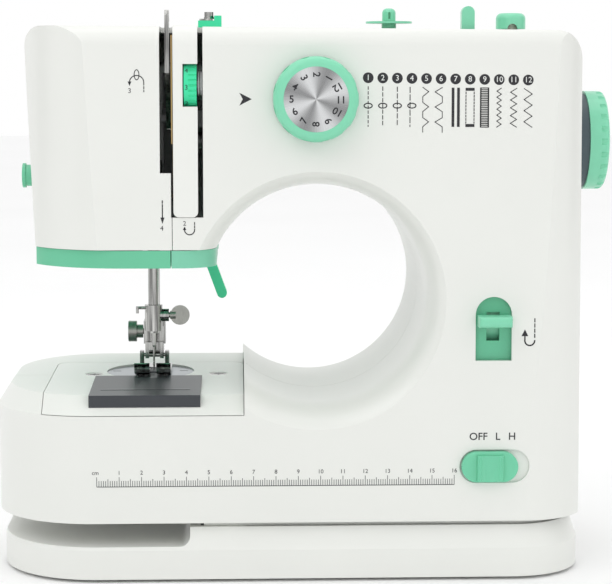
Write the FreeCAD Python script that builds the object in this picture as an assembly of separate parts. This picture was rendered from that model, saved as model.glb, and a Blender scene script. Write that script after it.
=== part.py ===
import FreeCAD, Part
import math
import os

# Small free-arm sewing machine, millimetres. +X runs from the needle end to the handwheel,
# -Y is the operator's side, +Z is up. Z = 0 is the table under the rubber feet.

V = FreeCAD.Vector
X_AXIS = V(1, 0, 0)
Y_AXIS = V(0, 1, 0)
Z_AXIS = V(0, 0, 1)

# Casing
WALL = 2.4                 # shell wall
BODY_FRONT = 61.5          # half depth of the bed and column
HEAD_FRONT = 58.0          # half depth of the arm and head
BODY_LEFT = -141.4         # free arm end
BODY_RIGHT = 125.0         # column side
BODY_BOTTOM = 27.0         # lower edge of the casing, just above the base
BED_CREASE = 75.8          # top of the upright front face of the bed
ARM_TOP = 247.0            # top of the arm
HEAD_BOTTOM = 149.4        # casing edge above the green band
BAND_BOTTOM = 141.3        # lower edge of the green band
THROAT_X = 5.0             # centre of the throat opening
THROAT_Z = 128.1
THROAT_R = 49.5            # clear radius of the throat
FLARE = 13.0               # radial rounding of the throat's mouth on the operator's side
FLARE_DEPTH = 19.0         # how far that rounding reaches into the throat
REAR_FLARE = 3.0           # rounding of the far mouth
SPLIT_Y = 0.0               # parting plane between the front and rear shells

# Base
BASE_BOTTOM = 1.5
BASE_FLAT = 16.2           # floor of the sleeve slot
BASE_TOP = 25.0            # raised deck under the column
SLOT_RIGHT = -52.2         # inner end of the sleeve slot

# Needle area
NEEDLE_X = -70.5
NEEDLE_Y = 6.0
NEEDLE_BAR_R = 2.5
PRESSER_Y = 19.0
PRESSER_R = 2.5

# Mechanism
SHAFT_Y = 0.0
SHAFT_Z = 195.5            # main shaft height
SHAFT_R = 4.0
LOWER_Y = -20.0            # lower shaft, also the bobbin's centre line
LOWER_Z = 50.0
TAKE_Y = -22.0             # pivot of the take-up lever
TAKE_Z = 206.0
SHIFT_Y = 4.0              # moves the finished parts so that the origin is central in depth
RUN = 0.05                 # running clearance on a radius

# Controls
DIAL_X = 3.9
DIAL_Z = 215.6
DIAL_R = 18.7
FACE_R = 14.2
LEVER_X = 83.3
SWITCH_X = 84.15
SWITCH_Z = 52.0
SWITCH_FLOOR = -60.1       # floor of the shallow recess round the slide knob


def box(x0, x1, y0, y1, z0, z1):
    """Box between two opposite corners."""
    return Part.makeBox(x1 - x0, y1 - y0, z1 - z0, V(x0, y0, z0))


def rod_x(x0, x1, y, z, r):
    return Part.makeCylinder(r, x1 - x0, V(x0, y, z), X_AXIS)


def rod_y(x, y0, y1, z, r):
    return Part.makeCylinder(r, y1 - y0, V(x, y0, z), Y_AXIS)


def rod_z(x, y, z0, z1, r):
    return Part.makeCylinder(r, z1 - z0, V(x, y, z0), Z_AXIS)


def fuse(shapes):
    """One clean solid out of overlapping solids."""
    out = shapes[0]
    for s in shapes[1:]:
        out = out.fuse(s)
    return out.removeSplitter()


def group(shapes):
    """Separate solids kept in one named piece."""
    return Part.makeCompound(shapes)


def biggest(shape):
    """The largest solid of a cut, so that no sliver is left behind."""
    return max(shape.Solids, key=lambda s: s.Volume)


def poly(points):
    """Closed face through a list of vectors."""
    wire = Part.makePolygon(points + [points[0]])
    return Part.Face(wire)


def rounded_outline(points, radii):
    """Points of a plan outline with a circular arc at each corner, as one wire in the XY plane."""
    n = len(points)
    starts = []
    ends = []
    mids = []
    for i in range(n):
        p = V(points[i][0], points[i][1], 0)
        a = V(points[i - 1][0], points[i - 1][1], 0)
        b = V(points[(i + 1) % n][0], points[(i + 1) % n][1], 0)
        da = (a - p).normalize()
        db = (b - p).normalize()
        half = da.getAngle(db) / 2.0
        t = radii[i] / math.tan(half)
        centre = p + (da + db).normalize() * (radii[i] / math.sin(half))
        starts.append(p + da * t)
        ends.append(p + db * t)
        mids.append(centre + (p - centre).normalize() * radii[i])
    edges = []
    for i in range(n):
        edges.append(Part.Arc(starts[i], mids[i], ends[i]).toShape())
        nxt = starts[(i + 1) % n]
        if (nxt - ends[i]).Length > 1e-4:
            edges.append(Part.makeLine(ends[i], nxt))
    return Part.Wire(edges)


def slab(points, radii, z0, z1):
    """Upright prism over a rounded plan outline."""
    face = Part.Face(rounded_outline(points, radii))
    face.translate(V(0, 0, z0))
    return face.extrude(V(0, 0, z1 - z0))


def front_prism(points, radii, y0, y1):
    """Prism along Y over a rounded outline whose points are (x, z)."""
    face = Part.Face(rounded_outline(points, radii))
    face.rotate(V(0, 0, 0), X_AXIS, 90)
    face.translate(V(0, y1, 0))
    return face.extrude(V(0, y0 - y1, 0))


def side_slab(points, radii, x0, x1):
    """Prism along X over a rounded outline whose points are (y, z)."""
    face = Part.Face(rounded_outline(points, radii))
    face.rotate(V(0, 0, 0), V(1, 1, 1), 120)
    face.translate(V(x0, 0, 0))
    return face.extrude(V(x1 - x0, 0, 0))


def side_prism(points, x0, x1):
    """Prism along X over a polygon whose points are (y, z)."""
    return poly([V(x0, p[0], p[1]) for p in points]).extrude(V(x1 - x0, 0, 0))


def round_edges(shape, radius, keep):
    """Fillet the edges whose centre passes the test."""
    edges = [e for e in shape.Edges if keep(e)]
    return shape.makeFillet(radius, edges)


def ring_x(x0, x1, y, z, r_out, r_in):
    return rod_x(x0, x1, y, z, r_out).cut(rod_x(x0 - 1, x1 + 1, y, z, r_in))


def ring_y(x, y0, y1, z, r_out, r_in):
    return rod_y(x, y0, y1, z, r_out).cut(rod_y(x, y0 - 1, y1 + 1, z, r_in))


def ring_z(x, y, z0, z1, r_out, r_in):
    return rod_z(x, y, z0, z1, r_out).cut(rod_z(x, y, z0 - 1, z1 + 1, r_in))


def gear_x(x0, x1, y, z, r_pitch, module, teeth, bore, phase=0.0):
    """Straight gear along X with flat-topped teeth and a bore."""
    r_out = r_pitch + module * 0.9
    r_root = r_pitch - module * 1.15
    step = 2 * math.pi / teeth
    pts = []
    for i in range(teeth):
        a = phase + i * step
        for frac, r in ((-0.25, r_root), (-0.11, r_out), (0.11, r_out), (0.25, r_root)):
            ang = a + frac * step
            pts.append(V(x0, y + r * math.cos(ang), z + r * math.sin(ang)))
    body = poly(pts).extrude(V(x1 - x0, 0, 0))
    return body.cut(rod_x(x0 - 1, x1 + 1, y, z, bore))


def throat_tool(grow):
    """Revolved cutter for the throat, shrunk by grow to leave a wall round it."""
    r = THROAT_R + grow
    mouth = r + FLARE
    yf = -BODY_FRONT - 0.6 + grow
    yr = BODY_FRONT + 0.6 - grow
    far = 40.0
    arc = []
    for i in range(9):
        a = i * math.pi / 16
        arc.append(V(r + FLARE * (1 - math.cos(a)), yf + FLARE_DEPTH * (1 - math.sin(a)), 0))
    arc.reverse()
    flare = Part.BSplineCurve()
    flare.interpolate(arc)
    back = []
    for i in range(5):
        a = i * math.pi / 8
        back.append(V(r + REAR_FLARE * (1 - math.cos(a)), yr - REAR_FLARE * (1 - math.sin(a)), 0))
    rear = Part.BSplineCurve()
    rear.interpolate(back)
    edges = [
        Part.makeLine(V(0, yf - far, 0), V(mouth, yf - far, 0)),
        Part.makeLine(V(mouth, yf - far, 0), arc[0]),
        flare.toShape(),
        Part.makeLine(arc[-1], back[0]),
        rear.toShape(),
        Part.makeLine(back[-1], V(r + REAR_FLARE, yr + far, 0)),
        Part.makeLine(V(r + REAR_FLARE, yr + far, 0), V(0, yr + far, 0)),
        Part.makeLine(V(0, yr + far, 0), V(0, yf - far, 0)),
    ]
    face = Part.Face(Part.Wire(edges))
    tool = face.revolve(V(0, 0, 0), Y_AXIS, 360)
    tool.translate(V(THROAT_X, 0, THROAT_Z))
    return Part.Solid(tool) if tool.ShapeType == "Shell" else tool


def arm_block(d):
    """Arm, head and column before hollowing, with every face moved inwards by d."""
    top = [(-126.8 + d, ARM_TOP + 0.9 - d), (123.2 - d, ARM_TOP - 1.3 - d)]
    low = [(125.2 - d, BODY_BOTTOM), (-28, BODY_BOTTOM), (-28, 100), (-38.3 - d, HEAD_BOTTOM - d * 4),
           (-121.4 + d, HEAD_BOTTOM - d * 4)]
    radii = [9 - d, 13 - d, 0.5, 0.5, 0.5, 0.5, 0.5]
    block = front_prism(top + low, radii, -BODY_FRONT + d, BODY_FRONT - d)
    plan = [(-128 + d, -BODY_FRONT + d), (128.0 - d, -BODY_FRONT + d),
            (128.0 - d, BODY_FRONT - d), (-128 + d, BODY_FRONT - d)]
    upright = slab(plan, [48 - d, 30 - d, 30 - d, 48 - d], 0, 300)
    slant = 3.66
    side = [(-BODY_FRONT + d, 0), (BODY_FRONT - d, 0), (BODY_FRONT - d, 75),
            (BODY_FRONT - slant - d, ARM_TOP + 0.9 - d), (-BODY_FRONT + slant + d, ARM_TOP + 0.9 - d),
            (-BODY_FRONT + d, 75)]
    profile = side_slab(side, [1, 1, 60, 9 - d, 9 - d, 60], -150, 150)
    return block.common(upright).common(profile)


def bed_plan(left, front, rear, d, radius):
    """Rounded plan outline of the bed, moved in by left, front and rear, and by the wall d."""
    plan = [(BODY_LEFT + left + d, -BODY_FRONT + front + d), (BODY_RIGHT - d, -BODY_FRONT + front + d),
            (BODY_RIGHT - d, BODY_FRONT - rear - d), (BODY_LEFT + left + d, BODY_FRONT - rear - d)]
    return rounded_outline(plan, [radius - d, 32 - d, 32 - d, radius - d])


def bed_block(d):
    """Bed and free arm before hollowing, with every face moved inwards by d."""
    low = Part.Face(bed_plan(0, 0, 0, d, 46))
    low.translate(V(0, 0, BODY_BOTTOM + d))
    walls = low.extrude(V(0, 0, BED_CREASE - BODY_BOTTOM - d - d * 0.5))
    wires = []
    for t, z in ((0.0, BED_CREASE - d * 0.5), (1.0, 90.0)):
        wire = bed_plan(9.0 * t, 17.3 * t, 2.0 * t, d, 46 - 8 * t)
        wire.translate(V(0, 0, z))
        wires.append(wire)
    slope = Part.makeLoft(wires, True, True)
    deck = side_prism([(-BODY_FRONT - 1, 0), (-BODY_FRONT - 1, 83.37 - d), (BODY_FRONT + 1, 86.3 - d),
                       (BODY_FRONT + 1, 0)], -150, 135)
    return walls.fuse(slope).common(deck)


def casing_solid(d):
    """Whole casing, moved inwards by d, as one solid."""
    body = arm_block(d).fuse(bed_block(d))
    return biggest(body.cut(throat_tool(d)))


def stadium_tool(x, z, length, width, y0, y1):
    """Cutter along Y with round ends, length along X."""
    r = width / 2.0
    half = length / 2.0 - r
    return fuse([rod_y(x - half, y0, y1, z, r), rod_y(x + half, y0, y1, z, r),
                 box(x - half, x + half, y0, y1, z - r, z + r)])


def reverse_tool(grow, y0, y1):
    """Arched opening round the reverse lever."""
    r = 7.8 + grow
    return fuse([rod_y(LEVER_X, y0, y1, 120.1, r),
                 box(LEVER_X - r, LEVER_X + r, y0, y1, 99.9 - grow, 120.1)])


def bed_cover_region(grow):
    """Plan region of the removable bed cover, from the front crease backwards."""
    plan = [(-118 - grow, -80), (-28 + grow, -80), (-28 + grow, 33 + grow), (-118 - grow, 33 + grow)]
    return slab(plan, [0.5, 0.5, 6, 6], BED_CREASE - grow, 100)


def right_side_tools():
    """Holes in the column's right wall: shaft, two sockets."""
    return [rod_x(118, 135, SHAFT_Y, SHAFT_Z, 9.0), rod_x(118, 135, 34, 52, 5.0), rod_x(118, 135, 34, 72, 4.0)]


def top_tools():
    """Holes in the top of the arm."""
    return [rod_z(40.7, 2.0, 240, 260, 3.6), rod_z(94.85, -20, 240, 260, 3.3),
            box(69.5, 78.5, -36, -24, 240, 260), rod_z(-43.0, -25, 240, 260, 1.7)]


def shell():
    """Hollow casing with every opening, before it is split into front and rear."""
    hollow = casing_solid(0).cut(casing_solid(WALL))
    tools = [
        box(-64.4, -59.2, -70, -26, 183.2, 260),
        box(-59.6, -45.4, -70, -50, 163.7, 260),
        box(-47.6, -45.4, -70, -34, 243, 260),
        rod_y(DIAL_X, -70, -50, DIAL_Z, 4.0 + RUN),
        reverse_tool(0.3, -70, -50),
        stadium_tool(SWITCH_X, SWITCH_Z, 31.5, 15.1, -70, SWITCH_FLOOR),
        box(78.4, 90.6, -70, -50, SWITCH_Z - 2.9, SWITCH_Z + 2.9),
        bed_cover_region(0.3),
        rod_x(-135, -115, -20, 180.4, 5.0),
    ]
    hollow = hollow.cut(Part.makeCompound(tools))
    hollow = hollow.cut(Part.makeCompound(right_side_tools()))
    return hollow.cut(Part.makeCompound(top_tools()))


def casing_parts():
    """Front shell, rear shell, head face cover and bed cover plate."""
    whole = shell()
    front = whole.common(box(-160, 150, -80, SPLIT_Y - 0.15, 20, 270))
    rear = whole.common(box(-160, 150, SPLIT_Y + 0.15, 80, 20, 270))
    face = front.common(box(-150, -59.3, -80, 10, 146, 270))
    front = front.cut(box(-150, -59.0, -80, 10, 146, 270))
    skin = casing_solid(0).cut(casing_solid(WALL))
    cover = biggest(skin.common(bed_cover_region(0)))
    cover = cover.cut(needle_plate_blank(0.25, 60, 100))
    cover = cover.cut(box(-93, -51.5, -46.5, -11.0, 60, 100))
    cover = cover.cut(box(-93, -51.5, -70, -46.0, 81.9, 100))
    cover = cover.cut(rod_z(-98.5, 1.5, 60, 100, 2.2))
    cover = cover.cut(rod_z(-39.8, 1.5, 60, 100, 2.2))
    cover = cover.cut(Part.makeCone(2.1, 7.2, 6.0, V(-98.5, 1.5, 82.0)))
    cover = cover.cut(Part.makeCone(2.1, 7.2, 6.0, V(-39.8, 1.5, 82.0)))
    return biggest(front), biggest(rear), biggest(face), biggest(cover)


def needle_plate_blank(grow, z0, z1):
    """Half-round plate outline, flat side towards the operator."""
    disc = rod_z(-72.3, 9.5, z0, z1, 20.5 + grow)
    return disc.common(box(-110, -30, -11.6 - grow, 60, z0, z1))


def needle_plate():
    """Steel plate with a needle slot and feed dog slots."""
    plate = needle_plate_blank(0, 82.3, 84.6)
    slot = fuse([rod_z(NEEDLE_X - 3, NEEDLE_Y, 70, 90, 1.1), rod_z(NEEDLE_X + 3, NEEDLE_Y, 70, 90, 1.1),
                 box(NEEDLE_X - 3, NEEDLE_X + 3, NEEDLE_Y - 1.1, NEEDLE_Y + 1.1, 70, 90)])
    plate = plate.cut(slot)
    plate = plate.cut(box(NEEDLE_X - 7.4, NEEDLE_X - 4.6, -2.0, 19.0, 70, 90))
    plate = plate.cut(box(NEEDLE_X + 4.6, NEEDLE_X + 7.4, -2.0, 19.0, 70, 90))
    plate = plate.cut(box(-90.5, -86.5, 11.5, 12.7, 70, 90))
    return plate.cut(box(-58.5, -54.5, 11.5, 12.7, 70, 90))


def bobbin_cover():
    """Smoked slide cover with a skirt over the front slope and a notch at the foot."""
    top = side_prism([(-58, 79.0), (-58, 84.4), (-12.2, 86.2), (-12.2, 84.9), (-50.5, 84.4), (-50.5, 79.0)],
                     -97, -47.3)
    notch = box(-78, -63, -17.5, -10, 70, 95)
    tongue = box(-92.4, -52.2, -45.8, -20, 82.2, 85.0)
    cover = fuse([top, tongue]).cut(notch)
    plug = side_prism([(-58, 79.0), (-58, 83.5), (-51, 84.0), (-51, 79.0)], -97, -47.3)
    return biggest(fuse([cover, plug]).cut(casing_solid(-0.2).cut(box(-93.4, -51.2, -47, 0, 60, 100))))


def bed_screws():
    """Two countersunk screws that hold the bed cover."""
    out = []
    for x in (-98.5, -39.8):
        head = Part.makeCone(2.0, 4.2, 2.6, V(x, 1.5, 82.1))
        stem = rod_z(x, 1.5, 70.6, 82.4, 1.7)
        body = fuse([head, stem])
        out.append(body.cut(box(x - 3.4, x + 3.4, 1.1, 1.9, 83.9, 85.5)))
    return group(out)


def band_blank(d, z0, z1):
    """Outline of the head at its lower edge, moved inwards by d."""
    plan = [(-128 + d, -59.7 + d), (-39.9 - d, -59.7 + d), (-39.9 - d, 59.7 - d), (-128 + d, 59.7 - d)]
    blank = slab(plan, [48 - d, 16 - d, 3.4 - d, 48 - d], z0, z1)
    return blank.common(box(-121.2 + d, 0, -80, 80, z0, z1))


def band_parts():
    """Green band under the head in two pieces, with a floor that the bars pass through."""
    solid = band_blank(0, BAND_BOTTOM, HEAD_BOTTOM - 0.3)
    hollow = band_blank(2.2, BAND_BOTTOM + 2.0, HEAD_BOTTOM + 5)
    floor_holes = [
        box(-78.5, -62.5, -2.0, 14.0, 130, 160),
        box(-76.5, -50, 12.5, 28.5, 130, 160),
        box(-54, -30, 12.0, 34.0, 130, 160),
        rod_z(-98, -18, 130, 160, 8.0),
    ]
    band = solid.cut(hollow).cut(Part.makeCompound(floor_holes))
    left = biggest(band.common(box(-150, -60.0, -80, 80, 130, 160)))
    right = band.common(box(-59.6, -20, -80, 80, 130, 160))
    return left, group([s for s in right.Solids if s.Volume > 100])


def strip_cover():
    """Narrow cover between the two thread slots, with the tension wheel window."""
    skin = arm_block(-0.6).cut(arm_block(1.9))
    strip = biggest(skin.common(box(-58.5, -47.7, -75, -50.4, 163.9, 260)))
    strip = strip.cut(box(-54.2, -46, -70, -40, 212.3, 230.9))
    edges = [e for e in strip.Edges if abs(e.CenterOfMass.z - 163.9) < 0.1 and e.BoundBox.YLength > 1]
    return strip.makeFillet(2.4, edges)


def base_plan(d):
    """Corner points of the base outline, moved inwards by d."""
    return [(-139.0 + d, -61.8 + d), (126.4 - d, -61.8 + d), (126.4 - d, 61.8 - d), (-139.0 + d, 61.8 - d)]


def base_blank(d, z0, z1):
    """Base outline as a solid between two heights."""
    return slab(base_plan(d), [46 - d, 33 - d, 33 - d, 46 - d], z0, z1)


def base_plate():
    """Hollow base: low shelf under the free arm, raised deck under the column."""
    outer = sloped_blank()
    recess = fuse([box(-160, SLOT_RIGHT - 4.6, -80, 80, BASE_FLAT, 60),
                   box(-160, SLOT_RIGHT, -80, 80, BASE_FLAT + 4.6, 60),
                   Part.makeCylinder(4.6, 160, V(SLOT_RIGHT - 4.6, -80, BASE_FLAT + 4.6), Y_AXIS)])
    outer = outer.cut(recess)
    cavity = fuse([base_blank(2.4, BASE_BOTTOM + 2.2, 13.8),
                   base_blank(6.4, BASE_BOTTOM + 2.2, 60).common(box(-47.4, 140, -80, 80, 0, 70))])
    base = outer.cut(cavity)
    base = base.cut(box(5, 95, -24, 24, 0, BASE_BOTTOM + 1.4))
    return biggest(base.cut(box(9, 91, -20, 20, 0, 6)))


def sloped_blank():
    """Base block whose upper 10 mm slope inwards."""
    inset = 3.6
    low = base_blank(0, BASE_BOTTOM, 14.6)
    wires = []
    for d, z in ((0.0, 14.6), (inset, 24.6)):
        wire = rounded_outline(base_plan(d), [46 - d, 33 - d, 33 - d, 46 - d])
        wire.translate(V(0, 0, z))
        wires.append(wire)
    return fuse([low, Part.makeLoft(wires, True, True)])


def battery_door():
    """Cover of the battery compartment in the underside, with a finger slot."""
    door = box(5.4, 94.6, -23.6, 23.6, BASE_BOTTOM, BASE_BOTTOM + 1.2)
    return door.cut(stadium_tool_z(50, 19, 14, 5))


def stadium_tool_z(x, y, length, width):
    """Cutter along Z with round ends, length along X."""
    r = width / 2.0
    half = length / 2.0 - r
    return fuse([rod_z(x - half, y, -5, 40, r), rod_z(x + half, y, -5, 40, r),
                 box(x - half, x + half, y - r, y + r, -5, 40)])


def rubber_feet():
    """Four feet in one piece name, each a separate disc."""
    spots = [(-108, -38), (-108, 38), (108, -42), (108, 42)]
    return group([rod_z(x, y, 0, BASE_BOTTOM, 7.0) for x, y in spots])


def inner_frame():
    """Metal chassis behind the main shaft, with bearing brackets and guides."""
    parts = [box(-104, 100, 30, 33, 184, 232)]
    for x in (-46, 52, 108):
        parts.append(box(x, x + 4, -9, 33, 186, 205))
        parts.append(rod_x(x - 1, x + 5, SHAFT_Y, SHAFT_Z, 6.0))
    parts.append(box(52, 112, 30, 33, 184, 205))
    parts.append(box(-92, -52, 30, 33, 153, 190))
    parts.append(box(-78, -63, 14, 33, 160, 164))
    parts.append(box(-78, -63, 14, 33, 206, 210))
    parts.append(box(-49.5, -46, -27, 33, 202.5, 210))
    parts.append(rod_x(-65, -48, TAKE_Y, TAKE_Z, 2.0))
    parts.append(rod_y(NEEDLE_X, 10.0, 32, 226, 2.0))
    for x, z in ((-95, 222), (80, 222), (20, 222)):
        parts.append(rod_y(x, 32, 54.6, z, 4))
    parts += side_brackets()
    frame = fuse(parts)
    frame = frame.cut(rod_x(-60, 130, SHAFT_Y, SHAFT_Z, SHAFT_R + RUN))
    frame = frame.cut(rod_z(NEEDLE_X, PRESSER_Y, 150, 215, PRESSER_R + RUN))
    return biggest(frame)


def side_brackets():
    """Brackets and pivot pins of the small levers, all part of the chassis."""
    return [
        rod_y(LIFT_X, LIFT_Y, 31, LIFT_Z, 1.5),
        box(LIFT_X - 4, LIFT_X + 4, 30, 33, 143.0, 190.0),
        rod_y(73.9, -36, 31, 233, 1.5),
        box(70, 78, 8, 33, 230.5, 235.5),
        rod_x(76.0, 96.0, REV_Y, REV_Z, 2.0),
        box(93.0, 96.0, REV_Y - 4, 33.0, REV_Z - 5, REV_Z + 5),
        box(93.0, 96.0, 29.0, 33.0, REV_Z - 5, 190.0),
    ]


def lower_frame():
    """Lower casting under the bed that carries the lower shaft and the hook."""
    parts = [box(-112, 60, 2, 6, 33, 62)]
    for x in (-46, 54):
        parts.append(box(x, x + 4, -29, 6, 33, 60))
    parts.append(box(-100, -44, -46, 6, 33, 36))
    for x in (-98.5, -39.8):
        parts.append(rod_z(x, 1.5, 34, 77, 3.6))
    frame = fuse(parts)
    frame = frame.cut(rod_x(-60, 130, LOWER_Y, LOWER_Z, 3.0 + RUN))
    frame = frame.cut(rod_z(NEEDLE_X, LOWER_Y, 20, 50, 3.0 + RUN))
    for x in (-98.5, -39.8):
        frame = frame.cut(rod_z(x, 1.5, 70, 90, 1.75))
    return biggest(frame)


def main_shaft():
    """Main shaft with its crank and belt pulley."""
    return fuse([rod_x(-52.5, 126, SHAFT_Y, SHAFT_Z, SHAFT_R), rod_x(126, 139, SHAFT_Y, SHAFT_Z, 3.0),
                 crank_disc(), pulleys(SHAFT_Y, SHAFT_Z)])


def crank_disc():
    """Counterweighted crank at the needle end of the main shaft."""
    disc = rod_x(-56.5, -52.05, SHAFT_Y, SHAFT_Z, 15.5)
    disc = disc.cut(box(-60, -50, -20, 20, SHAFT_Z + 9.5, SHAFT_Z + 20))
    pin = rod_x(-60.2, -56.5, SHAFT_Y - 11.5, SHAFT_Z, 2.0)
    return fuse([disc, pin])


def needle_link():
    """Connecting link hung from the crank pin."""
    y = SHAFT_Y - 11.5
    bar = box(-60.2, -57.2, y - 3, y + 3, SHAFT_Z - 26, SHAFT_Z)
    link = fuse([bar, rod_x(-60.2, -57.2, y, SHAFT_Z, 4.5), rod_x(-60.2, -57.2, y, SHAFT_Z - 26, 4.0)])
    link = link.cut(rod_x(-65, -50, y, SHAFT_Z, 2.0 + RUN))
    return link.cut(rod_x(-65, -50, y, SHAFT_Z - 26, 1.8))


def pulleys(y, z):
    """Flanged belt pulley."""
    return fuse([rod_x(61.0, 62.2, y, z, 14.2), rod_x(62.2, 69.4, y, z, 12.0), rod_x(69.4, 70.6, y, z, 14.2)])


def timing_belt():
    """Belt loop from the main shaft to the lower shaft."""
    def loop(r, x0, x1):
        dy = LOWER_Y - SHAFT_Y
        dz = LOWER_Z - SHAFT_Z
        length = math.hypot(dy, dz)
        ny = -dz / length * r
        nz = dy / length * r
        flat = side_prism([(SHAFT_Y + ny, SHAFT_Z + nz), (LOWER_Y + ny, LOWER_Z + nz),
                           (LOWER_Y - ny, LOWER_Z - nz), (SHAFT_Y - ny, SHAFT_Z - nz)], x0, x1)
        return fuse([flat, rod_x(x0, x1, SHAFT_Y, SHAFT_Z, r), rod_x(x0, x1, LOWER_Y, LOWER_Z, r)])
    return loop(13.6, 62.6, 69.0).cut(loop(12.1, 60, 72))


def lower_shaft():
    """Lower shaft with its belt pulley and bevel wheel."""
    wheel = bevel(V(-62.0, LOWER_Y, LOWER_Z), V(-1, 0, 0), 12, 2.9)
    return fuse([rod_x(-65, 84, LOWER_Y, LOWER_Z, 3.0), pulleys(LOWER_Y, LOWER_Z), wheel])


def drive_gear():
    return gear_x(75, 80, LOWER_Y, LOWER_Z, 25.0, 1.0, 50, 3.0, MESH)


MOTOR_Y = LOWER_Y + 22.0
MOTOR_Z = LOWER_Z + 20.6
MESH = math.atan2(20.6, 22.0)   # direction from the lower shaft to the motor


def motor():
    """Small direct-current motor with its bearing boss."""
    can = fuse([rod_x(84, 120, MOTOR_Y, MOTOR_Z, 14.5), rod_x(82.2, 84, MOTOR_Y, MOTOR_Z, 5)])
    return can.cut(rod_x(80, 122, MOTOR_Y, MOTOR_Z, 1.2 + RUN))


def motor_pinion():
    """Motor shaft with its pinion."""
    wheel = gear_x(74.5, 80.5, MOTOR_Y, MOTOR_Z, 5.0, 1.0, 10, 1.1, MESH + math.pi * 1.1)
    return fuse([wheel, rod_x(73.0, 118.0, MOTOR_Y, MOTOR_Z, 1.2)])


def bevel(base, axis, teeth, bore):
    """Small 45 degree bevel wheel, large face at base, narrowing along axis."""
    cone = Part.makeCone(8.1, 5.1, 3.0, base, axis)
    side = V(0, 1, 0)
    slots = []
    for i in range(teeth):
        cut = Part.makeBox(8.0, 0.9, 1.1, V(4.6, -0.45, 0))
        cut.rotate(V(4.6, 0, 0), V(0, 1, 0), -45)
        cut.translate(V(3.5, 0, 0.2))
        cut.rotate(V(0, 0, 0), Z_AXIS, 360.0 * i / teeth)
        slots.append(cut)
    tool = Part.makeCompound(slots)
    tool.Placement = FreeCAD.Placement(base, FreeCAD.Rotation(Z_AXIS, axis))
    hole = Part.makeCylinder(bore, 20, base - axis * 8, axis)
    return biggest(cone.cut(tool).cut(hole))


def rotary_hook():
    """Rotary hook: cup, upright spindle and bevel wheel."""
    cup = rod_z(NEEDLE_X, LOWER_Y, 62.0, 76.5, 19.0).cut(rod_z(NEEDLE_X, LOWER_Y, 64.0, 80, 16.8))
    gap = box(NEEDLE_X - 3.5, NEEDLE_X + 3.5, LOWER_Y - 25, LOWER_Y - 10, 68, 80)
    wheel = bevel(V(NEEDLE_X, LOWER_Y, LOWER_Z - 8.5), V(0, 0, 1), 12, 2.9)
    return biggest(fuse([cup.cut(gap), rod_z(NEEDLE_X, LOWER_Y, 33, 62.5, 3.0), wheel]))


def bobbin_case():
    """Basket that holds the bobbin inside the hook."""
    cup = rod_z(NEEDLE_X, LOWER_Y, 64.4, 77.0, 16.4).cut(rod_z(NEEDLE_X, LOWER_Y, 66.0, 80, 12.0))
    lip = ring_z(NEEDLE_X, LOWER_Y, 77.0, 78.4, 18.4, 12.0)
    tab = box(NEEDLE_X + 10, NEEDLE_X + 21.8, LOWER_Y - 2.5, LOWER_Y + 2.5, 77.2, 78.4)
    post = rod_z(NEEDLE_X, LOWER_Y, 65.5, 76.0, 2.6)
    return fuse([cup, lip, tab.cut(rod_z(NEEDLE_X, LOWER_Y, 70, 80, 12)), post])


def bobbin():
    """Flanged bobbin."""
    z0 = 66.4
    body = fuse([rod_z(NEEDLE_X, LOWER_Y, z0, z0 + 1.0, 10.3), rod_z(NEEDLE_X, LOWER_Y, z0, z0 + 10.0, 4.0),
                 rod_z(NEEDLE_X, LOWER_Y, z0 + 9.0, z0 + 10.0, 10.3)])
    return body.cut(rod_z(NEEDLE_X, LOWER_Y, 60, 80, 2.66))


def feed_bar():
    """Bar that carries the feed dog on two guide pins."""
    parts = [box(-86, -55, 8.0, 26.0, 62.4, 65.4), box(-86, -55, 23, 26, 50, 65.4)]
    for x in (-5.0, 5.0):
        parts.append(rod_z(NEEDLE_X + x, 13.0, 65.0, 71.4, 1.0))
    return fuse(parts)


def feed_dog():
    """Two toothed rows that rise through the needle plate."""
    out = [box(NEEDLE_X - 8, NEEDLE_X + 8, 9, 17, 67.4, 72.4)]
    for x in (-6.0, 6.0):
        pts = [(0.6, 72.0)]
        y = 0.6
        while y < 16.0:
            pts.append((y, 84.9))
            pts.append((y + 1.0, 84.1))
            y += 1.2
        pts.append((16.4, 72.0))
        out.append(side_prism(pts, NEEDLE_X + x - 0.9, NEEDLE_X + x + 0.9))
    dog = fuse(out)
    for x in (-5.0, 5.0):
        dog = dog.cut(rod_z(NEEDLE_X + x, 13.0, 60.0, 73.4, 1.0 + RUN))
    return biggest(dog)


def needle_bar_cradle():
    """Swinging guide of the needle bar."""
    parts = [box(-75.5, -65.5, 11.0, 13.2, 152, 230), box(-75.5, -65.5, 1, 11.5, 152, 160),
             box(-75.5, -65.5, 1, 11.5, 206, 213), box(-66, -14, 11.0, 13.2, 227, 230)]
    cradle = fuse(parts)
    cradle = cradle.cut(rod_y(NEEDLE_X, 0, 20, 226, 2.0 + RUN))
    return cradle.cut(rod_z(NEEDLE_X, NEEDLE_Y, 140, 221, NEEDLE_BAR_R + RUN))


def needle_bar():
    """Chrome needle bar with its drive collar inside the head."""
    bar = rod_z(NEEDLE_X, NEEDLE_Y, 104.0, 218.0, NEEDLE_BAR_R)
    collar = ring_z(NEEDLE_X, NEEDLE_Y, 178, 186, 4.6, NEEDLE_BAR_R - 0.1)
    bore = rod_z(NEEDLE_X, NEEDLE_Y, 100, 112, 1.05)
    return fuse([bar, collar]).cut(bore)


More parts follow.
